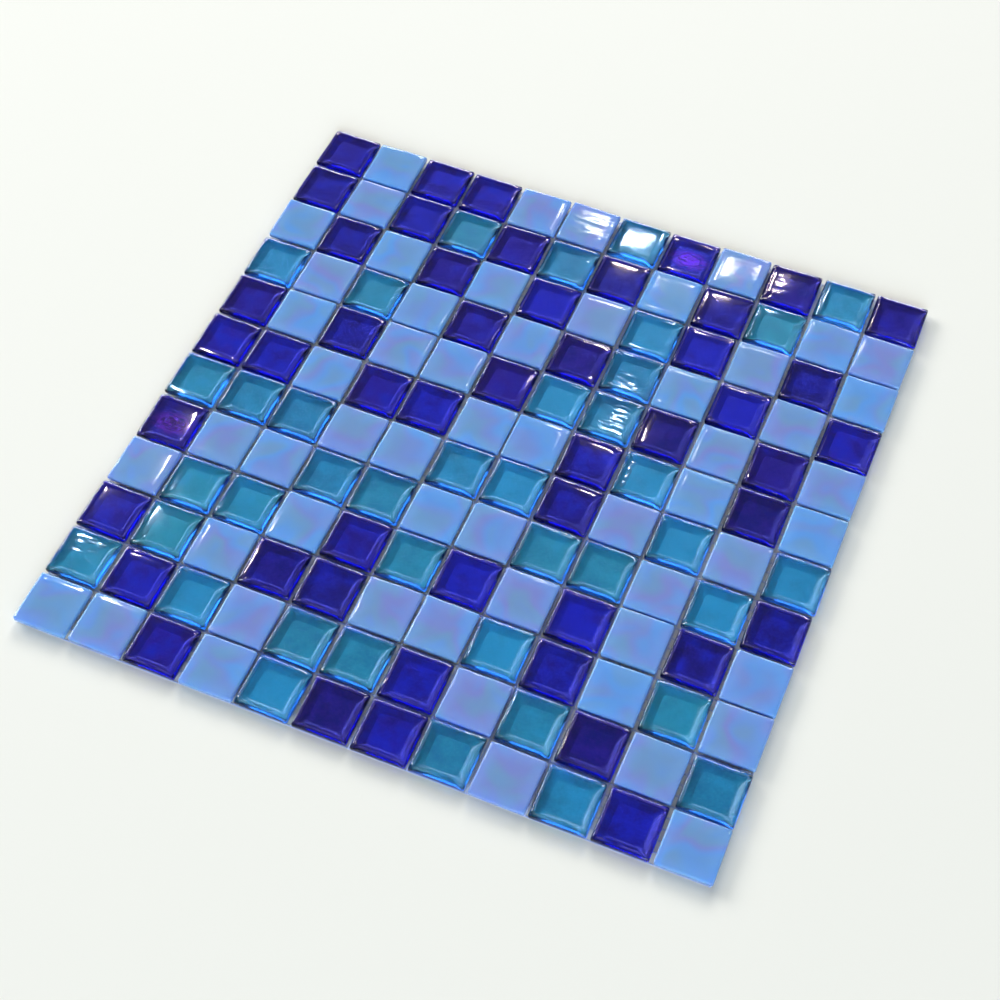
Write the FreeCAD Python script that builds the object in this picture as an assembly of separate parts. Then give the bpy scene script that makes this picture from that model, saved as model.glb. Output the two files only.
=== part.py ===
import FreeCAD, Part

import os
import random

# A sheet of square glass mosaic: twelve rows of twelve tiles, face up, bonded on a laid glass-fibre net.
# Millimetres. The origin is the middle of the sheet's underside, +X runs along a row, +Y towards row 1.

# The order of the tiles, row 1 first, each row from -X to +X: C cobalt, A aqua, O opal.
layout = (
    "COCCOOACOCAC",
    "COCACACOCAOO",
    "OCOCOCOACOCO",
    "AOAOCOCAOCOC",
    "COCOOCAACOCO",
    "CCOCCOOCAOCO",
    "AAAOOAACOAOA",
    "COOAAOOAAOAC",
    "OAAOCACOCOCO",
    "CAOCCOOACOAO",
    "ACAOAACOACOA",
    "OOCOACCAOACO",
)
kind_names = {"C": "cobalt", "A": "aqua", "O": "opal"}

# The tile.
tile_side = 24.0
tile_thickness = 4.0
corner_cut = 1.0
arris = 0.6
foot_bevel = 0.4
crown_rise = 0.2
crown_run = 3.5

# How the tiles are set, by hand and by eye.
joint_width = 1.4
side_spread = 0.12
drift_share = 0.2
turn_limit_deg = 0.7
setting_seed = 12

# Corners nipped off in handling, as (row, column): (corner, cut). Corner 0 is at +X -Y, then anticlockwise.
nipped_corners = {
    (5, 5): (1, 2.2),
    (8, 7): (2, 2.6),
}

# The net: flat strands laid in two layers, with the crossings bonded.
strand_pitch = 5.0
strand_width = 0.8
strand_thickness = 0.25
net_inset = 0.5

tile_pitch = tile_side + joint_width
sheet_side = len(layout) * tile_pitch - joint_width
net_side = sheet_side - 2.0 * net_inset
tile_base = 2.0 * strand_thickness


def tile_ring(half_side, cuts, height):
    """The eight points of a square with its four corners cut, anticlockwise from the corner at +X -Y."""
    corners = ((1, -1), (1, 1), (-1, 1), (-1, -1))
    points = []
    for (sign_x, sign_y), cut in zip(corners, cuts):
        x = sign_x * half_side
        y = sign_y * half_side
        along_x = FreeCAD.Vector(x - sign_x * cut, y, height)
        along_y = FreeCAD.Vector(x, y - sign_y * cut, height)
        points += [along_x, along_y] if sign_x * sign_y < 0 else [along_y, along_x]
    return points


def ring_solid(rings):
    """A closed solid of flat faces through stacked rings of points."""
    faces = [Part.Face(Part.makePolygon(ring + ring[:1])) for ring in (rings[0], rings[-1])]
    for lower, upper in zip(rings, rings[1:]):
        for index, point in enumerate(lower):
            following = (index + 1) % len(lower)
            corners = [point, lower[following], upper[following], upper[index], point]
            faces.append(Part.Face(Part.makePolygon(corners)))
    solid = Part.makeSolid(Part.makeShell(faces))
    solid.fixTolerance(1e-6)
    return solid if solid.Volume > 0 else solid.reversed()


def make_tile(side, cuts):
    """One pressed tile on its net: bevelled foot, straight walls, broken arris and a face that swells a little."""
    half = side / 2.0
    top = tile_base + tile_thickness
    shoulder = top - crown_rise
    sections = (
        (half - foot_bevel, tile_base),
        (half, tile_base + foot_bevel),
        (half, shoulder - arris),
        (half - arris, shoulder),
        (half - arris - crown_run, top),
    )
    return ring_solid([tile_ring(half_side, cuts, height) for half_side, height in sections])


def set_tile(row, column, setting):
    """A tile at its place in the sheet, turned and drifted as a hand-set tile is."""
    cuts = [corner_cut] * 4
    if (row, column) in nipped_corners:
        corner, cut = nipped_corners[(row, column)]
        cuts[corner] = cut
    tile = make_tile(tile_side - setting.uniform(0.0, side_spread), cuts)
    drift = drift_share * joint_width
    middle = (len(layout) + 1) / 2.0
    place = FreeCAD.Vector(
        (column - middle) * tile_pitch + setting.uniform(-drift, drift),
        (middle - row) * tile_pitch + setting.uniform(-drift, drift),
        0.0,
    )
    tile.rotate(FreeCAD.Vector(0, 0, 0), FreeCAD.Vector(0, 0, 1), setting.uniform(-turn_limit_deg, turn_limit_deg))
    tile.translate(place)
    return tile


def strand_places():
    """The strands' distances from the middle of the net: one in the middle, the outermost flush with the net's edge."""
    outermost = (net_side - strand_width) / 2.0
    each_way = round(outermost / strand_pitch)
    return [index * outermost / each_way for index in range(-each_way, each_way + 1)]


def make_strand(length_x, length_y, x, y, base):
    corner = FreeCAD.Vector(x - length_x / 2.0, y - length_y / 2.0, base)
    return Part.makeBox(length_x, length_y, strand_thickness, corner)


def export(solids, node):
    Part.makeCompound(solids).exportStep(f"parts/{node}.step")


def export_tiles():
    setting = random.Random(setting_seed)
    for row, kinds in enumerate(layout, 1):
        tiles = {kind: [] for kind in kind_names}
        for column, kind in enumerate(kinds, 1):
            tiles[kind].append(set_tile(row, column, setting))
        for kind, solids in tiles.items():
            export(solids, f"{kind_names[kind]}_tiles_row_{row:02d}")


def export_net():
    lower = [make_strand(net_side, strand_width, 0.0, y, 0.0) for y in strand_places()]
    upper = [make_strand(strand_width, net_side, x, 0.0, strand_thickness) for x in strand_places()]
    export(lower, "net_strands_along_rows")
    export(upper, "net_strands_along_columns")


os.makedirs("parts", exist_ok=True)
export_tiles()
export_net()
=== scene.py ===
import math

import bpy
import numpy as np
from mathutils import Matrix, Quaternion, Vector


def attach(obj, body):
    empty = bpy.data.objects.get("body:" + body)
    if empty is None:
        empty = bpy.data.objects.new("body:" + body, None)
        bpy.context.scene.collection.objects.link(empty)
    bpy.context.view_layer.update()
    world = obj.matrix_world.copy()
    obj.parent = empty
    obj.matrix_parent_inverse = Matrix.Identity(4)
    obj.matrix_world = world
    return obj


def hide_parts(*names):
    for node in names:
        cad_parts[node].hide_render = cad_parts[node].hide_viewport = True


# A sheet of square glass mosaic on its backing net, seen from above. Metres throughout.

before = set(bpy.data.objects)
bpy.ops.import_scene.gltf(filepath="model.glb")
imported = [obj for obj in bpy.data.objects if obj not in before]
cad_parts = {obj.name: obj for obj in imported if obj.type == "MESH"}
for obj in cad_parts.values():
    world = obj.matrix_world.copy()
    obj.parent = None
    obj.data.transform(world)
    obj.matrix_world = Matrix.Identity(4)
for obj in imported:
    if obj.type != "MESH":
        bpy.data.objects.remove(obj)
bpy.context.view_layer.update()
print("frame loaded:", len(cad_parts), "nodes")

# The grid and the height of the faces are the frame's. The glass starts just above its enamel, which lies on
# the net.
sheetPlan = {
    "tilesAcross": 12,
    "pitch": 0.0254,
    "tileBase": 0.00053,
    "tileTop": 0.0045,
}


def hexColour(code):
    # sRGB hex to linear light, one channel at a time
    parts = [int(code[start:start + 2], 16) / 255 for start in (1, 3, 5)]
    linear = [part / 12.92 if part <= 0.04045 else ((part + 0.055) / 1.055) ** 2.4 for part in parts]
    return (*linear, 1.0)


def addNode(tree, kind, settings=None, links=None):
    # one node. Settings are its own choices or plain socket values; links are what feeds its sockets, where a
    # node stands for its first output.
    node = tree.nodes.new(kind)
    for name, value in (settings or {}).items():
        if isinstance(name, str) and hasattr(node, name):
            setattr(node, name, value)
        else:
            node.inputs[name].default_value = value
    for name, source in (links or {}).items():
        output = source.outputs[0] if isinstance(source, bpy.types.Node) else source
        tree.links.new(output, node.inputs[name])
    return node


def newMaterial(name):
    # a material with an empty node tree
    material = bpy.data.materials.new(name)
    material.use_nodes = True
    material.node_tree.nodes.clear()
    return material, material.node_tree


def gridObject(name, points, quads, triangles, materials, slots, attributes=None):
    # a mesh object at the origin from whole arrays. slots is the material index of the quads, then of the
    # triangles. Faces of the first material are smooth, any others flat.
    corners = np.concatenate([quads.ravel(), triangles.ravel()]).astype(np.int32)
    totals = np.concatenate([np.full(len(quads), 4), np.full(len(triangles), 3)])
    starts = np.concatenate([[0], np.cumsum(totals)[:-1]]).astype(np.int32)
    mesh = bpy.data.meshes.new(name)
    mesh.vertices.add(len(points))
    mesh.vertices.foreach_set("co", np.asarray(points, np.float32).ravel())
    mesh.loops.add(corners.size)
    mesh.loops.foreach_set("vertex_index", corners)
    mesh.polygons.add(len(totals))
    mesh.polygons.foreach_set("loop_start", starts)
    mesh.polygons.foreach_set("material_index", np.asarray(slots, np.int32))
    mesh.update(calc_edges=True)
    mesh.validate()
    mesh.polygons.foreach_set("use_smooth", np.asarray(slots) == 0)
    for key, values in (attributes or {}).items():
        layer = mesh.attributes.new(key, "FLOAT_VECTOR", "POINT")
        layer.data.foreach_set("vector", np.asarray(values, np.float32).ravel())
    for material in materials:
        mesh.materials.append(material)
    piece = bpy.data.objects.new(name, mesh)
    bpy.context.scene.collection.objects.link(piece)
    return piece


def meshPoints(node):
    # the corners of one of the frame's nodes, one row each
    flat = np.empty(len(node.data.vertices) * 3, np.float32)
    node.data.vertices.foreach_get("co", flat)
    return flat.reshape(-1, 3).astype(float)


# What the finishes share. An eased range turns a value into a share, zero at From Min and one at From Max, or
# To Max where a range names it.

eased = {"interpolation_type": "SMOOTHSTEP"}


def seededPlace(tree):
    # the piece's own coordinates, moved by each tile's seed so that no two tiles share a pattern
    place = addNode(tree, "ShaderNodeTexCoord").outputs["Object"]
    seed = addNode(tree, "ShaderNodeAttribute", {"attribute_name": "tileSeed"}).outputs["Vector"]
    return addNode(tree, "ShaderNodeVectorMath", {"operation": "ADD"}, {0: place, 1: seed})


def tileValue(tree, attribute, axis):
    # one number of an attribute that each point of a tile carries
    vector = addNode(tree, "ShaderNodeAttribute", {"attribute_name": attribute}).outputs["Vector"]
    return addNode(tree, "ShaderNodeSeparateXYZ", links={"Vector": vector}).outputs[axis]


def edgeDistance(tree):
    # how far out a place is on its own tile: zero in the middle, one at the nearest wall
    across, along = [
        addNode(tree, "ShaderNodeMath", {"operation": "ABSOLUTE"}, {0: tileValue(tree, "tilePlace", axis)})
        for axis in "XY"
    ]
    return addNode(tree, "ShaderNodeMath", {"operation": "MAXIMUM"}, {0: across, 1: along})


def layeredColour(tree, ground, layers):
    # a ground colour with others laid over it in turn, each by its own share. Sockets 6 and 7 of a mix are
    # its two colours, and its output 2 is their mix.
    colour = None
    for share, code in layers:
        settings = {"data_type": "RGBA", 6: hexColour(ground), 7: hexColour(code)}
        links = {0: share} if colour is None else {0: share, 6: colour}
        colour = addNode(tree, "ShaderNodeMix", settings, links).outputs[2]
    return colour


# Glass, clear and coloured through

glassLook = {
    "surface": "#FFFFFF",
    "ior": 1.52,
    "roughness": 0.045,
    "grainRoughness": 0.2,
    "filmIor": 1.62,
    "filmPatch": 0.012,
    "filmWorn": {"From Min": 0.93, "From Max": 0.88},
    "wavePatch": 0.009,
    "waveHeight": 0.000025,
    "ripplePatch": 0.004,
    "rippleStretch": 0.4,
    "rippleHeight": 0.00008,
    # the two ranges below bound the thin line at the face's edge, whose pale colour is a painted highlight
    "highlightLineInner": {"From Min": 0.845, "From Max": 0.86},
    "highlightLineOuter": {"From Min": 0.905, "From Max": 0.885},
    "frostPatch": 0.003,
    "frostPatches": {"From Min": 0.35, "From Max": 0.6, "To Max": 0.2},
}
cobaltLook = {
    "absorption": "#4454F0",
    "density": 260.0,
    "backing": "#3858D8",
    "backingDrift": "#6834A0",
    "backingDark": "#2C3080",
    # the border colour is painted shade near the walls
    "backingShadeBorder": "#3838D8",
    "lustre": "#FF78F0",
    # the arris colour is a painted highlight on the line at the face's edge
    "arris": "#A08CF0",
    "filmThin": 135.0,
    "filmThick": 195.0,
}
aquaLook = {
    "absorption": "#00CCFF",
    "density": 130.0,
    "backing": "#34BACE",
    "backingDrift": "#3CBCB4",
    "backingDark": "#2494AA",
    # the border colour is painted shade near the walls
    "backingShadeBorder": "#2494E0",
    "lustre": "#D0FFFF",
    # the arris colour is a painted highlight on the line at the face's edge
    "arris": "#B8ECFF",
    "filmThin": 180.0,
    "filmThick": 240.0,
}


def rippledFace(tree, place):
    # the face's unevenness as a normal: a broad wave on every tile and, by each tile's share, ripples from
    # the press
    wave = addNode(
        tree, "ShaderNodeTexNoise", {"Scale": 1 / glassLook["wavePatch"], "Detail": 1.0}, {"Vector": place},
    )
    stretch = {"operation": "MULTIPLY", 1: (glassLook["rippleStretch"], 1.0, 1.0)}
    drawn = addNode(tree, "ShaderNodeVectorMath", stretch, {0: place})
    ripple = addNode(
        tree, "ShaderNodeTexNoise", {"Scale": 1 / glassLook["ripplePatch"], "Detail": 1.0}, {"Vector": drawn},
    )
    broad = addNode(
        tree, "ShaderNodeBump", {"Strength": 1.0, "Distance": glassLook["waveHeight"]}, {"Height": wave},
    )
    return addNode(
        tree, "ShaderNodeBump", {"Distance": glassLook["rippleHeight"]},
        {"Height": ripple, "Strength": tileValue(tree, "tileTraits", "X"), "Normal": broad},
    )


def clearGlass(name, look):
    # Pressed soda-lime glass coloured through, with a vapour-deposited lustre. The eye sees deep colour that
    # follows the thickness, bright arrises and a faint oily sheen. The film's thickness is noise between two
    # values in nanometres, and falls to nothing on the worn arrises. The underside keeps the mould's fine
    # grain, so the roughness rises with the share of grain. Each face ends in a thin line where it meets the
    # arris: its pale arris colour is a painted highlight, and in patches along its length the glass there is
    # also a little less clear.
    material, tree = newMaterial(name)
    place = seededPlace(tree)
    edge = edgeDistance(tree)
    film = addNode(
        tree, "ShaderNodeTexNoise", {"Scale": 1 / glassLook["filmPatch"], "Detail": 2.0}, {"Vector": place},
    )
    thickness = addNode(
        tree, "ShaderNodeMapRange", {"To Min": look["filmThin"], "To Max": look["filmThick"]},
        {"Value": film},
    )
    worn = addNode(tree, "ShaderNodeMapRange", {**eased, **glassLook["filmWorn"]}, {"Value": edge})
    coat = addNode(tree, "ShaderNodeMath", {"operation": "MULTIPLY"}, {0: thickness, 1: worn})
    roughness = addNode(
        tree, "ShaderNodeMapRange", {"To Min": glassLook["roughness"], "To Max": glassLook["grainRoughness"]},
        {"Value": tileValue(tree, "tilePlace", "Z")},
    )
    patches = addNode(
        tree, "ShaderNodeTexNoise", {"Scale": 1 / glassLook["frostPatch"], "Detail": 1.0}, {"Vector": place},
    )
    patch = addNode(tree, "ShaderNodeMapRange", {**eased, **glassLook["frostPatches"]}, {"Value": patches})
    inner, outer = [
        addNode(tree, "ShaderNodeMapRange", {**eased, **glassLook[side]}, {"Value": edge})
        for side in ("highlightLineInner", "highlightLineOuter")
    ]
    highlightLine = addNode(tree, "ShaderNodeMath", {"operation": "MULTIPLY"}, {0: inner, 1: outer})
    frost = addNode(tree, "ShaderNodeMath", {"operation": "MULTIPLY"}, {0: highlightLine, 1: patch})
    clear = addNode(tree, "ShaderNodeMath", {"operation": "SUBTRACT", 0: 1.0}, {1: frost})
    shader = addNode(
        tree, "ShaderNodeBsdfPrincipled", {"IOR": glassLook["ior"], "Thin Film IOR": glassLook["filmIor"]},
        {
            # the line's pale arris colour is a painted highlight
            "Base Color": layeredColour(tree, glassLook["surface"], [(highlightLine, look["arris"])]),
            "Transmission Weight": clear,
            "Roughness": roughness,
            "Thin Film Thickness": coat,
            "Normal": rippledFace(tree, place),
        },
    )
    body = addNode(
        tree, "ShaderNodeVolumeAbsorption",
        {"Color": hexColour(look["absorption"]), "Density": look["density"]},
    )
    addNode(tree, "ShaderNodeOutputMaterial", links={"Surface": shader, "Volume": body})
    return material


# Enamel on the backs of the clear tiles

enamelLook = {
    "roughness": 0.45,
    "patch": 0.009,
    "grain": 0.0011,
    "driftBySeed": 0.4,
    "driftReach": {"From Min": 0.2, "From Max": 0.9},
    "darkBySeed": 0.45,
    "darkByCloud": 2.0,
    "darkReach": {"From Min": 0.9, "From Max": 2.4},
    "borderStart": 0.9,
    "borderEnd": 0.98,
    "borderWander": 0.25,
    "lustreRoughness": 0.18,
    "lustreGrain": 0.0013,
    "lustreStretch": (0.45, 1.0, 1.0),
    "lustreOval": (0.5, 0.8, 0.0),
    "lustreFade": {"From Min": 0.5, "From Max": 0.1},
    "lustreBreaks": {"From Min": 0.25, "From Max": 0.5},
    "lustreHeight": 0.000012,
}


def enamelBack(name, look):
    # Fired enamel on the underside. The eye sees a coloured ground through the glass, cloudier in some tiles
    # and a deeper colour along the border, which is painted shade of the walls. The colour mixes three by
    # each tile's seed, by clouds about a third of a tile wide and by a fine grain, then the border's by the
    # distance to the edge, which wanders with the clouds. On a few tiles a metal lustre has gathered in the
    # middle: it fades with the radius, breaks up in grains and sparkles with their slopes.
    material, tree = newMaterial(name)
    place = seededPlace(tree)
    cloud, grain = [
        addNode(tree, "ShaderNodeTexNoise", {"Scale": 1 / enamelLook[size], "Detail": 2.0}, {"Vector": place})
        for size in ("patch", "grain")
    ]
    drift = addNode(
        tree, "ShaderNodeMath", {"operation": "MULTIPLY_ADD", 1: enamelLook["driftBySeed"]},
        {0: tileValue(tree, "tileSeed", "X"), 2: cloud},
    )
    speckle = addNode(
        tree, "ShaderNodeMath", {"operation": "MULTIPLY_ADD", 1: enamelLook["darkBySeed"]},
        {0: tileValue(tree, "tileSeed", "Y"), 2: grain},
    )
    dark = addNode(
        tree, "ShaderNodeMath", {"operation": "MULTIPLY_ADD", 1: enamelLook["darkByCloud"]},
        {0: cloud, 2: speckle},
    )
    # the deeper border colour mixed in below is painted shade near the walls
    border = addNode(
        tree, "ShaderNodeMath", {"operation": "MULTIPLY_ADD", 1: enamelLook["borderWander"]},
        {0: cloud, 2: edgeDistance(tree)},
    )
    borderMove = enamelLook["borderWander"] / 2
    borderReach = {
        "From Min": enamelLook["borderStart"] + borderMove,
        "From Max": enamelLook["borderEnd"] + borderMove,
    }
    driftShare, darkShare, borderShadeShare = [
        addNode(tree, "ShaderNodeMapRange", {**eased, **reach}, {"Value": value})
        for value, reach in (
            (drift, enamelLook["driftReach"]), (dark, enamelLook["darkReach"]), (border, borderReach),
        )
    ]
    tilePlace = addNode(tree, "ShaderNodeAttribute", {"attribute_name": "tilePlace"}).outputs["Vector"]
    oval, drawn = [
        addNode(tree, "ShaderNodeVectorMath", {"operation": "MULTIPLY", 1: factors}, {0: source})
        for source, factors in ((tilePlace, enamelLook["lustreOval"]), (place, enamelLook["lustreStretch"]))
    ]
    radius = addNode(tree, "ShaderNodeVectorMath", {"operation": "LENGTH"}, {0: oval}).outputs["Value"]
    flecks = addNode(
        tree, "ShaderNodeTexNoise", {"Scale": 1 / enamelLook["lustreGrain"], "Detail": 1.0},
        {"Vector": drawn},
    )
    fade = addNode(tree, "ShaderNodeMapRange", {**eased, **enamelLook["lustreFade"]}, {"Value": radius})
    breaks = addNode(tree, "ShaderNodeMapRange", {**eased, **enamelLook["lustreBreaks"]}, {"Value": flecks})
    middle = addNode(
        tree, "ShaderNodeMath", {"operation": "MULTIPLY"}, {0: fade, 1: tileValue(tree, "tileTraits", "Y")},
    )
    lustre = addNode(tree, "ShaderNodeMath", {"operation": "MULTIPLY"}, {0: middle, 1: breaks})
    roughness = addNode(
        tree, "ShaderNodeMapRange",
        {"To Min": enamelLook["roughness"], "To Max": enamelLook["lustreRoughness"]}, {"Value": lustre},
    )
    slopes = addNode(
        tree, "ShaderNodeBump", {"Distance": enamelLook["lustreHeight"]},
        {"Height": flecks, "Strength": lustre},
    )
    layers = [
        (driftShare, look["backingDrift"]),
        (darkShare, look["backingDark"]),
        (borderShadeShare, look["backingShadeBorder"]),
        (lustre, look["lustre"]),
    ]
    colour = layeredColour(tree, look["backing"], layers)
    links = {"Base Color": colour, "Metallic": lustre, "Roughness": roughness, "Normal": slopes}
    shader = addNode(tree, "ShaderNodeBsdfPrincipled", links=links)
    addNode(tree, "ShaderNodeOutputMaterial", links={"Surface": shader})
    return material


# Opal glass

opalLook = {
    "sky": "#68A2E0",
    "lavender": "#8692CF",
    "mist": "#78A2C5",
    # the rim's lighter blue is painted light at the tile's edges
    "rim": "#80B8F6",
    "paintedRimLightReach": {"From Min": 0.35, "From Max": 0.95, "To Max": 0.25},
    "patch": 0.02,
    "patchRoughness": 0.4,
    "patchDistortion": 0.5,
    "fringes": 2.6,
    "tileDrift": 1.2,
    "lavenderReach": {"From Min": -1.7, "From Max": 1.7},
    "mistReach": {"From Min": -1.0, "From Max": 1.4, "To Max": 0.8},
    "scatterReach": 0.003,
    "scatterColour": (0.8, 0.9, 1.2),
    "roughness": 0.07,
    "ior": 1.5,
}


def opalGlass(name):
    # Opal glass, milky with fine crystals. The eye sees a soft pale blue with pastel contour bands like oil
    # on water, and some tiles greyer than others. Three blues are mixed by the sine and cosine of a broad
    # noise, the first mix moved by each tile's seed. Towards the rim a lighter blue is mixed in by the
    # distance to the edge: it is painted light, for the light that also comes in through the walls.
    material, tree = newMaterial(name)
    place = seededPlace(tree)
    pattern = {
        "Scale": 1 / opalLook["patch"],
        "Detail": 1.0,
        "Roughness": opalLook["patchRoughness"],
        "Distortion": opalLook["patchDistortion"],
    }
    broad = addNode(tree, "ShaderNodeTexNoise", pattern, {"Vector": place})
    turns = {"operation": "MULTIPLY", 1: 2 * math.pi * opalLook["fringes"]}
    phase = addNode(tree, "ShaderNodeMath", turns, {0: broad})
    sine = addNode(tree, "ShaderNodeMath", {"operation": "SINE"}, {0: phase})
    cosine = addNode(tree, "ShaderNodeMath", {"operation": "COSINE"}, {0: phase})
    moved = addNode(
        tree, "ShaderNodeMath", {"operation": "MULTIPLY_ADD", 1: opalLook["tileDrift"]},
        {0: tileValue(tree, "tileSeed", "X"), 2: sine},
    )
    layers = [
        (addNode(tree, "ShaderNodeMapRange", {**eased, **opalLook[reach]}, {"Value": value}), opalLook[code])
        for value, reach, code in (
            (moved, "lavenderReach", "lavender"), (cosine, "mistReach", "mist"),
            # the rim's lighter blue is painted light
            (edgeDistance(tree), "paintedRimLightReach", "rim"),
        )
    ]
    shader = addNode(
        tree, "ShaderNodeBsdfPrincipled",
        {
            "Roughness": opalLook["roughness"],
            "IOR": opalLook["ior"],
            "Subsurface Weight": 1.0,
            "Subsurface Radius": opalLook["scatterColour"],
            "Subsurface Scale": opalLook["scatterReach"],
        },
        {"Base Color": layeredColour(tree, opalLook["sky"], layers), "Normal": rippledFace(tree, place)},
    )
    addNode(tree, "ShaderNodeOutputMaterial", links={"Surface": shader})
    return material


# Yarn of the net

netLook = {
    # the yarn is white; its blue tint is painted light, the blue light that comes through the glass into the
    # joints
    "colour": "#C4CEF0",
    "roughness": 0.5,
    "fibre": 0.00012,
    "fibreLength": 20,
    "fibreHeight": 0.00003,
}


def fibreNet(name, axis):
    # Glass-fibre yarn stiffened with a clear resin. The eye sees a white satin ribbon streaked along its
    # length: the streaks are noise drawn out fibreLength times along the yarn. Its blue tint is painted
    # light, the blue light that comes through the glass into the joints.
    material, tree = newMaterial(name)
    place = addNode(tree, "ShaderNodeTexCoord").outputs["Object"]
    factors = [1.0, 1.0, 1.0]
    factors[axis] = 1 / netLook["fibreLength"]
    drawn = addNode(tree, "ShaderNodeVectorMath", {"operation": "MULTIPLY", 1: factors}, {0: place})
    fibres = addNode(
        tree, "ShaderNodeTexNoise", {"Scale": 1 / netLook["fibre"], "Detail": 2.0}, {"Vector": drawn},
    )
    slopes = addNode(
        tree, "ShaderNodeBump", {"Strength": 1.0, "Distance": netLook["fibreHeight"]}, {"Height": fibres},
    )
    settings = {"Base Color": hexColour(netLook["colour"]), "Roughness": netLook["roughness"]}
    shader = addNode(tree, "ShaderNodeBsdfPrincipled", settings, {"Normal": slopes})
    addNode(tree, "ShaderNodeOutputMaterial", links={"Surface": shader})
    return material


# The floor's finish

floorLook = {"colour": "#F1EFE3", "roughness": 0.65}


def plainFinish(name, look):
    # one colour and one roughness all over
    material, tree = newMaterial(name)
    settings = {"Base Color": hexColour(look["colour"]), "Roughness": look["roughness"]}
    shader = addNode(tree, "ShaderNodeBsdfPrincipled", settings)
    addNode(tree, "ShaderNodeOutputMaterial", links={"Surface": shader})
    return material


cobaltGlass = clearGlass("cobaltGlassPressed", cobaltLook)
aquaGlass = clearGlass("aquaGlassPressed", aquaLook)
opalGlassFinish = opalGlass("opalGlassLustred")
cobaltEnamel = enamelBack("cobaltEnamelBack", cobaltLook)
aquaEnamel = enamelBack("aquaEnamelBack", aquaLook)
rowYarn = fibreNet("resinCoatedFibreAlongRows", 0)
columnYarn = fibreNet("resinCoatedFibreAlongColumns", 1)
floorFinish = plainFinish("paleFloor", floorLook)
print("finishes ready")

# Tiles. Lengths are in metres, tilts are slopes, and steps, points and waves are counts. The curves and
# topRounding are powers. The other numbers are shares or factors.

tileShape = {
    "edgeRound": 0.0013,
    "opalEdgeRound": 0.0009,
    "arrisSteps": 6,
    "edgeWobble": 0.00007,
    "wobbleWaves": (3, 15),
    "wobbleMost": 2.0,
    "wobbleDrop": 0.4,
    "footRound": 0.0002,
    "footSteps": 3,
    "backRun": 0.0048,
    "backRise": 0.0014,
    "backCorner": 0.001,
    "backCurves": (1.1, 1.5),
    "backSteps": 6,
    "underScales": (0.5, 0.97),
    "rimFall": 0.00008,
    "opalRimFall": 0.00012,
    "rimFallSpread": (0.7, 1.3),
    "rimStart": 0.78,
    "swell": (0.00002, 0.00006),
    "tilt": 0.003,
    "tiltMost": 0.01,
    "tiltPivot": 0.8,
    "backingBase": 0.000504,
    "backingTop": 0.000516,
    "backingInset": 0.0003,
    "triedDegrees": (-1.5, 1.5, 301),
    "cutPerRound": 1.1,
    "leastRound": 0.00005,
    "sidePoints": 8,
    "cornerPoints": 5,
    "topScales": (0.97, 0.94, 0.9, 0.85, 0.78, 0.7, 0.6, 0.5, 0.4, 0.3, 0.2, 0.1),
    "topRounding": 1.5,
    "wallGrain": 0.4,
    "grainSlack": 0.000001,
}

# Tiles that differ, as (row, column): how rippled the face is, how much lustre lies under the middle, and how
# the top leans, as its slope towards +X and +Y, in place of a lean by chance
rippledTiles = {
    (1, 6): 0.8, (1, 9): 0.3, (1, 10): 0.4, (2, 4): 0.3, (2, 6): 0.5, (4, 8): 0.7, (5, 8): 0.9, (6, 9): 0.8,
    (8, 6): 0.4, (11, 1): 0.9,
}
lustredTiles = {(1, 8): 1.0, (8, 1): 1.0}
leaningTiles = {
    (1, 6): (-0.014, 0.004), (1, 7): (0.0, 0.0), (1, 8): (0.0, 0.025), (1, 9): (0.0, 0.0),
    (1, 10): (0.0, 0.0), (2, 7): (0.0, 0.0), (2, 10): (0.0, -0.003), (4, 8): (0.0, 0.004),
    (5, 7): (0.01, -0.01), (6, 9): (0.003, -0.012), (8, 1): (0.025, 0.035), (9, 1): (0.025, 0.015),
    (10, 1): (-0.02, 0.0), (11, 1): (-0.012, -0.012),
}

# The corners of a square, anticlockwise from the one at +X -Y, and the turns that a tile may have
cornerSigns = np.array([(1, -1), (1, 1), (-1, 1), (-1, -1)], float)
triedTurns = np.radians(np.linspace(*tileShape["triedDegrees"]))


def readTiles(node):
    # each tile's middle, turn, half side and corner rounds, from the frame's own solids. The turn is the one
    # at which the tile's box is smallest, and a round is the cut of its corner over cutPerRound.
    points = meshPoints(node)
    columns = np.rint(points[:, 0] / sheetPlan["pitch"] + (sheetPlan["tilesAcross"] + 1) / 2).astype(int)
    cosine, sine = np.cos(triedTurns), np.sin(triedTurns)
    axes = np.stack([np.stack([cosine, -sine], -1), np.stack([sine, cosine], -1)], 1)
    tiles = []
    for column in np.unique(columns):
        turned = points[columns == column][:, :2] @ axes
        low, high = turned.min(1), turned.max(1)
        best = np.argmin(np.prod(high - low, axis=1))
        middle = (low[best] + high[best]) / 2
        half = (high[best] - low[best]).mean() / 2
        cuts = 2 * half - ((turned[best] - middle) @ cornerSigns.T).max(0)
        tiles.append({
            "column": int(column),
            "middle": axes[best] @ middle,
            "turn": triedTurns[best],
            "half": half,
            "rounds": cuts / tileShape["cutPerRound"],
        })
    return tiles


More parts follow.
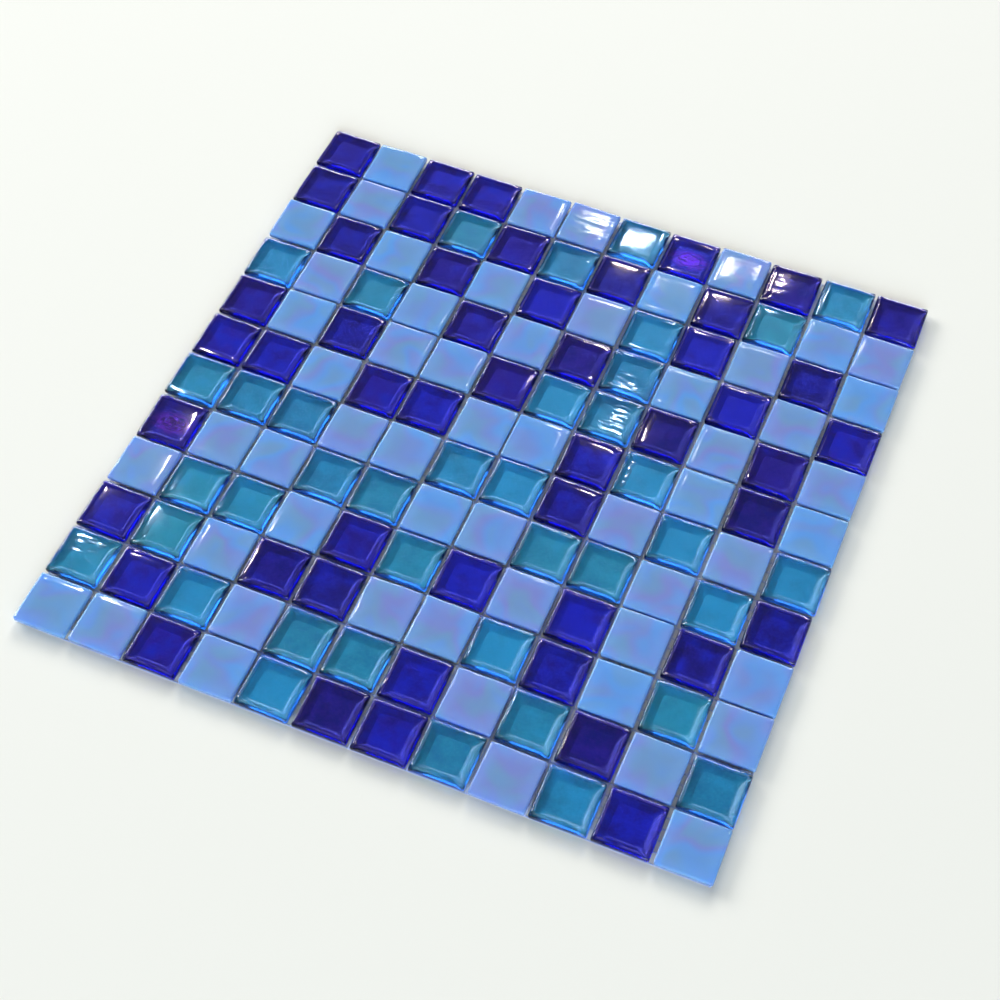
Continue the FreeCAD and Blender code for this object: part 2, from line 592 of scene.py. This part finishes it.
def roundedSquare(half, rounds, inset):
    # an anticlockwise outline: four quarter arcs joined by straight sides, all drawn in by the inset
    radii = np.maximum(rounds - inset, tileShape["leastRound"])
    centres = cornerSigns * (half - inset - radii)[:, None]
    sweep = np.linspace(0, math.pi / 2, tileShape["cornerPoints"])
    start = np.array([-math.pi / 2, 0, math.pi / 2, math.pi])
    angle = start[:, None] + sweep
    arcs = centres[:, None] + radii[:, None, None] * np.stack([np.cos(angle), np.sin(angle)], -1)
    along = np.linspace(0, 1, tileShape["sidePoints"] + 2)[1:-1, None]
    sides = arcs[:, -1, None] * (1 - along) + np.roll(arcs[:, 0], -1, axis=0)[:, None] * along
    return np.concatenate([arcs, sides], axis=1).reshape(-1, 2)


def bevelRings(half, rounds, last, curve):
    # the bevel of the back as outlines and rises, from the flat middle out to the last inset. The rise grows
    # with a power of the way, so the middle runs into the bevel more or less softly, and the corners are
    # rounder further in.
    run, rise = tileShape["backRun"], tileShape["backRise"]
    rings = []
    for way in np.linspace(0, 1, tileShape["backSteps"]):
        inset = run + way * (last - run)
        corner = (1 - way) * tileShape["backCorner"] + inset
        outline = roundedSquare(half, rounds + corner, inset)
        rings.append((outline, rise * ((run - inset) / run) ** curve))
    return rings


def glassRings(half, rounds, edge, rimFall, swell, wobble, curve):
    # the glass's skin as rings of points: the flat underside outwards, the bevel of the back, the foot's arc,
    # the wall, the arris's arc, then the face inwards. The whole face swells a little, and its rim falls with
    # the square of the way from rimStart to the edge: the arc ends at the slope which that gives the rim. The
    # face's rings change from square to round on the way in.
    base, top = sheetPlan["tileBase"], sheetPlan["tileTop"]
    foot, rimStart = tileShape["footRound"], tileShape["rimStart"]
    bevel = bevelRings(half, rounds, foot, curve)
    rings = [(bevel[0][0] * scale, base) for scale in tileShape["underScales"]]
    rings += [(outline, base + height) for outline, height in bevel]
    for turn in np.linspace(0, math.pi / 2, tileShape["footSteps"])[1:]:
        height = base + bevel[-1][1] + foot * (1 - math.cos(turn))
        rings.append((roundedSquare(half, rounds, foot * (1 - math.sin(turn))), height))
    slope = math.atan(2 * (rimFall / (1 - rimStart) + swell) / (half - edge))
    shoulder = top - rimFall - swell
    for turn in np.linspace(0, math.pi / 2 - slope, tileShape["arrisSteps"]):
        height = shoulder - edge * (math.cos(slope) - math.sin(turn))
        outline = roundedSquare(half, rounds, edge * (1 - math.cos(turn)))
        worn = wobble * math.sin(turn)
        height = np.minimum(height - tileShape["wobbleDrop"] * worn, top)
        rings.append((outline * (1 - worn / half)[:, None], height))
    last = rings[-1][0]
    circle = last / np.linalg.norm(last, axis=1)[:, None] * (half - edge)
    for scale in tileShape["topScales"]:
        share = scale ** tileShape["topRounding"]
        rim = max(scale - rimStart, 0) / (1 - rimStart)
        fall = rimFall * rim ** 2 + swell * scale ** 2
        rings.append((scale * (share * last + (1 - share) * circle), top - fall))
    return rings


def backingRings(half, rounds, curve):
    # the enamel under the glass as a thin plate that follows the bevelled back: its underside, rim and upper
    # side
    base, top = tileShape["backingBase"], tileShape["backingTop"]
    bevel = bevelRings(half, rounds, tileShape["backingInset"], curve)
    below = [(outline, base + height) for outline, height in bevel]
    above = [(outline, top + height) for outline, height in reversed(bevel)]
    inner = bevel[0][0] * tileShape["underScales"][0]
    return [(inner, base), *below, *above, (inner, top)]


def ringSkin(rings, start):
    # points, quads and end triangles of one closed skin through rings, closed by a pole at each end
    grid = np.stack([
        np.column_stack([outline, np.broadcast_to(height, len(outline))]) for outline, height in rings
    ])
    ringCount, around = grid.shape[:2]
    poles = np.array([[0, 0, grid[0, 0, 2]], [0, 0, grid[-1, 0, 2]]])
    points = np.concatenate([grid.reshape(-1, 3), poles])
    here = np.arange(ringCount * around).reshape(ringCount, around) + start
    following = np.roll(here, -1, axis=1)
    quads = np.stack([here[:-1], following[:-1], following[1:], here[1:]], -1).reshape(-1, 4)
    lower, upper = start + ringCount * around, start + ringCount * around + 1
    below = np.stack([np.full(around, lower), following[0], here[0]], -1)
    above = np.stack([here[-1], following[-1], np.full(around, upper)], -1)
    return points, quads, np.concatenate([below, above])


def grainShare(heights):
    # how much mould grain the skin keeps: all of it on the back and its bevel, less on the wall, and none on
    # the face and the arris's upper half
    bevelTop = sheetPlan["tileBase"] + tileShape["backRise"] + tileShape["grainSlack"]
    depth = (sheetPlan["tileTop"] - heights) / tileShape["edgeRound"]
    return np.where(heights < bevelTop, 1.0, tileShape["wallGrain"] * np.clip(2 * (depth - 0.5), 0, 1))


def edgeWobbles(count, random):
    # how far each tile's arris is worn in at each point around it: a capped sum of sines of whole periods,
    # each divided by the root of its periods
    around = 4 * (tileShape["cornerPoints"] + tileShape["sidePoints"])
    periods = np.arange(*tileShape["wobbleWaves"])
    phases = random.uniform(0, 2 * math.pi, (len(periods), count, 1))
    waves = np.sin(np.arange(around) / around * 2 * math.pi * periods[:, None, None] + phases)
    most = tileShape["wobbleMost"]
    return tileShape["edgeWobble"] * (waves / np.sqrt(periods)[:, None, None]).sum(0).clip(-most, most)


def leanedHeights(points, half, tilt):
    # heights on a leaning tile: nothing changes up to the top of the bevel, and above it the lean grows with
    # the height. The face stays where it is near its high corner, and sinks in a plane from there.
    above = points[:, 2] - sheetPlan["tileBase"] - tileShape["backRise"]
    share = (above / above.max()).clip(0, None)
    sinks = points[:, :2] @ tilt - half * np.abs(tilt).sum() * tileShape["tiltPivot"]
    return points[:, 2] + share * sinks.clip(None, 0)


def tilesObject(name, row, tiles, materials, random):
    # all tiles of one kind in one row as one mesh: each a glass skin and, where there are two materials, its
    # backing. Each point keeps its tile's seed, its place on the tile with the share of grain, and the tile's
    # traits, which are the shares of ripples and of lustre.
    backed = len(materials) > 1
    edge = tileShape["edgeRound" if backed else "opalEdgeRound"]
    mostFall = tileShape["rimFall" if backed else "opalRimFall"]
    parts, quads, triangles, quadSlots, triangleSlots, seeds, places, traits = [], [], [], [], [], [], [], []
    start = 0
    for tile, wobble in zip(tiles, edgeWobbles(len(tiles), random)):
        seed = random.uniform(-1, 1, 3)
        tilt = random.normal(0, tileShape["tilt"], 2).clip(-tileShape["tiltMost"], tileShape["tiltMost"])
        key = (row, tile["column"])
        tilt = np.array(leaningTiles.get(key, tilt))
        trait = (rippledTiles.get(key, 0.0), lustredTiles.get(key, 0.0), 0.0)
        rimFall = mostFall * random.uniform(*tileShape["rimFallSpread"])
        swell = random.uniform(*tileShape["swell"])
        curve = random.uniform(*tileShape["backCurves"])
        skins = [glassRings(tile["half"], tile["rounds"], edge, rimFall, swell, wobble, curve)]
        if backed:
            skins.append(backingRings(tile["half"], tile["rounds"], curve))
        cosine, sine = math.cos(tile["turn"]), math.sin(tile["turn"])
        for slot, rings in enumerate(skins):
            points, ownQuads, ownTriangles = ringSkin(rings, start)
            place = points / tile["half"]
            place[:, 2] = 0.0
            if slot == 0:
                place[:, 2] = grainShare(points[:, 2])
                points[:, 2] = leanedHeights(points, tile["half"], tilt)
            points[:, :2] = points[:, :2] @ np.array([[cosine, sine], [-sine, cosine]]) + tile["middle"]
            parts.append(points)
            quads.append(ownQuads)
            triangles.append(ownTriangles)
            quadSlots.append(np.full(len(ownQuads), slot))
            triangleSlots.append(np.full(len(ownTriangles), slot))
            seeds.append(np.tile(seed, (len(points), 1)))
            places.append(place)
            traits.append(np.tile(trait, (len(points), 1)))
            start += len(points)
    attributes = {
        "tileSeed": np.concatenate(seeds),
        "tilePlace": np.concatenate(places),
        "tileTraits": np.concatenate(traits),
    }
    slots = np.concatenate(quadSlots + triangleSlots)
    points, quads, triangles = [np.concatenate(arrays) for arrays in (parts, quads, triangles)]
    return gridObject(name, points, quads, triangles, materials, slots, attributes)


kindFinishes = {
    "cobalt": [cobaltGlass, cobaltEnamel],
    "aqua": [aquaGlass, aquaEnamel],
    "opal": [opalGlassFinish],
}
random = np.random.default_rng(5)
for nodeName, node in sorted(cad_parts.items()):
    kind = nodeName.split("_")[0]
    if kind not in kindFinishes:
        continue
    row = int(nodeName.split("_")[-1])
    piece = tilesObject("glass_" + nodeName, row, readTiles(node), kindFinishes[kind], random)
    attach(piece, "root")
    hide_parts(nodeName)
print("tiles made")

# Net. The wander is in metres, thinning and endShare are shares of the yarn's size, and the rest are counts.

yarnShape = {
    "around": 8,
    "along": 25,
    "wander": 0.00004,
    "wanderWaves": 3,
    "thinning": 0.12,
    "thinningWaves": 5,
    "endShare": 0.7,
}


def yarnsObject(name, node, axis, material, random):
    # one layer of the net: a flattened yarn for each of the frame's strands, closed by a pole at each end.
    # Its section is an oval that thins and wanders along the way, each by its own sine.
    corners = meshPoints(node)
    edges = np.unique(np.round(corners[:, 1 - axis], 5)).reshape(-1, 2)  # a strand's two edges, to 0.01 mm
    low, high = corners[:, 2].min(), corners[:, 2].max()
    reach = corners[:, axis].max()
    count, around, along = len(edges), yarnShape["around"], yarnShape["along"]
    way = np.linspace(-1, 1, along)
    phase = random.uniform(0, 2 * math.pi, (2, count, 1))
    wander = yarnShape["wander"] * np.sin(yarnShape["wanderWaves"] * math.pi * way + phase[0])
    swing = 0.5 + 0.5 * np.sin(yarnShape["thinningWaves"] * math.pi * way + phase[1])
    thin = 1 - yarnShape["thinning"] * swing
    thin[:, [0, -1]] *= yarnShape["endShare"]
    sweep = np.arange(around) / around * 2 * math.pi
    middle = edges.mean(1)[:, None] + wander
    width = (np.diff(edges)[:, :1] / 2 - yarnShape["wander"]) * thin
    rings = np.empty((count, along, around, 3))
    rings[..., axis] = (reach * way)[:, None]
    rings[..., 1 - axis] = middle[..., None] + width[..., None] * np.cos(sweep)
    rings[..., 2] = (low + high) / 2 + (high - low) / 2 * thin[..., None] * np.sin(sweep)
    points = np.concatenate([rings.reshape(-1, 3), rings[:, [0, -1]].mean(2).reshape(-1, 3)])
    here = np.arange(count * along * around).reshape(count, along, around)
    following = np.roll(here, -1, axis=2)
    quads = np.stack([here[:, :-1], here[:, 1:], following[:, 1:], following[:, :-1]], -1).reshape(-1, 4)
    ends = (here.size + np.arange(2 * count)).reshape(count, 2, 1)
    poles = np.broadcast_to(ends, (count, 2, around))
    first = np.stack([poles[:, 0], here[:, 0], following[:, 0]], -1).reshape(-1, 3)
    last = np.stack([poles[:, 1], following[:, -1], here[:, -1]], -1).reshape(-1, 3)
    triangles = np.concatenate([first, last])
    if axis == 0:
        quads, triangles = quads[:, ::-1], triangles[:, ::-1]
    slots = np.zeros(len(quads) + len(triangles), int)
    return gridObject(name, points, quads, triangles, [material], slots)


for nodeName, axis, finish in (
    ("net_strands_along_rows", 0, rowYarn), ("net_strands_along_columns", 1, columnYarn),
):
    piece = yarnsObject("yarn_" + nodeName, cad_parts[nodeName], axis, finish, random)
    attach(piece, "root")
    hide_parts(nodeName)
print("net made")

# Floor, a little below the net

floorPlan = {"side": 14.0, "drop": 0.0001}
bpy.ops.mesh.primitive_plane_add(size=floorPlan["side"], location=(0, 0, -floorPlan["drop"]))
floor = bpy.context.object
floor.name = "floor"
floor.data.materials.append(floorFinish)

# Lights. Compass directions from the sheet's middle: azimuth clockwise from +Y, elevation above the floor, in
# degrees. Distances and sizes are in metres, powers in watts. The word Window, Fill or Lamp in a light's name
# gives its shape and its colour.

lights = {
    "leftWindow": {"azimuth": -70, "elevation": 24, "distance": 10.0, "size": (6.2, 3.0), "power": 800},
    "farWindow": {"azimuth": -18, "elevation": 26, "distance": 10.0, "size": (5.6, 3.0), "power": 620},
    "nearFill": {"azimuth": 156, "elevation": 24, "distance": 10.0, "size": (8.5, 5.0), "power": 1000},
    "farLampOne": {"azimuth": -16.4, "elevation": 46.2, "distance": 4.0, "size": (0.14, 0.09), "power": 1.6},
    "farLampTwo": {"azimuth": -12.0, "elevation": 46.5, "distance": 4.0, "size": (0.08, 0.07), "power": 0.9},
    "farLampThree": {"azimuth": -8.8, "elevation": 46.6, "distance": 4.0, "size": (0.06, 0.05), "power": 0.5},
    "middleLamp": {"azimuth": -17.0, "elevation": 53.2, "distance": 4.0, "size": (0.06, 0.05), "power": 0.5},
    "leftLamp": {"azimuth": -47, "elevation": 53, "distance": 4.0, "size": (0.08, 0.07), "power": 3.0},
}
lightKinds = {
    "Window": ("RECTANGLE", "#FFFFFF"),
    "Fill": ("RECTANGLE", "#DDECFF"),
    "Lamp": ("ELLIPSE", "#FFFFFF"),
}
worldLook = {"colour": "#F4F8FF", "strength": 0.17}


def compass(azimuth, elevation):
    # the unit vector that points from the sheet's middle in a compass direction
    across, up = math.radians(azimuth), math.radians(elevation)
    return Vector((math.sin(across) * math.cos(up), math.cos(across) * math.cos(up), math.sin(up)))


for name, plan in lights.items():
    shape, colour = next(choice for kind, choice in lightKinds.items() if kind in name)
    lamp = bpy.data.lights.new(name, "AREA")
    lamp.shape = shape
    lamp.color = hexColour(colour)[:3]
    lamp.size, lamp.size_y = plan["size"]
    lamp.energy = plan["power"]
    holder = bpy.data.objects.new(name, lamp)
    towards = compass(plan["azimuth"], plan["elevation"])
    holder.location = towards * plan["distance"]
    holder.rotation_mode = "QUATERNION"
    holder.rotation_quaternion = towards.to_track_quat("Z", "Y")
    bpy.context.scene.collection.objects.link(holder)

world = bpy.data.worlds.new("paleRoom")
world.use_nodes = True
background = world.node_tree.nodes["Background"]
background.inputs["Color"].default_value = hexColour(worldLook["colour"])
background.inputs["Strength"].default_value = worldLook["strength"]
bpy.context.scene.world = world
bpy.context.scene.view_settings.view_transform = "Standard"

# Light paths: sharp reflections, enough bounces to go through the glass to its enamel and come back, and no
# light tree, as the lights are few
pathLimits = {"max_bounces": 8, "transmission_bounces": 8, "diffuse_bounces": 3}
bpy.context.scene.cycles.blur_glossy = 0.0
bpy.context.scene.cycles.use_light_tree = False
for limit, count in pathLimits.items():
    setattr(bpy.context.scene.cycles, limit, count)

# Camera, fitted to the crossings of the joints. Sensor and lens are in millimetres.

cameraPlan = {
    "place": (0.18818, -0.41802, 0.64530),
    "aim": (0.02501, -0.01306, 0.0045),
    "rollDegrees": 0.48,
    "sensor": 36.0,
    "lens": 65.13,
    "shift": (-0.040, -0.005),
    "clipStart": 0.01,
}
cameraData = bpy.data.cameras.new("camera")
cameraData.sensor_width = cameraPlan["sensor"]
cameraData.lens = cameraPlan["lens"]
cameraData.shift_x, cameraData.shift_y = cameraPlan["shift"]
cameraData.clip_start = cameraPlan["clipStart"]
camera = bpy.data.objects.new("camera", cameraData)
camera.location = cameraPlan["place"]
camera.rotation_mode = "QUATERNION"
look = Vector(cameraPlan["aim"]) - Vector(cameraPlan["place"])
roll = Quaternion((0, 0, 1), math.radians(cameraPlan["rollDegrees"]))
camera.rotation_quaternion = look.to_track_quat("-Z", "Y") @ roll
bpy.context.scene.collection.objects.link(camera)
bpy.context.scene.camera = camera
print("camera and light set")
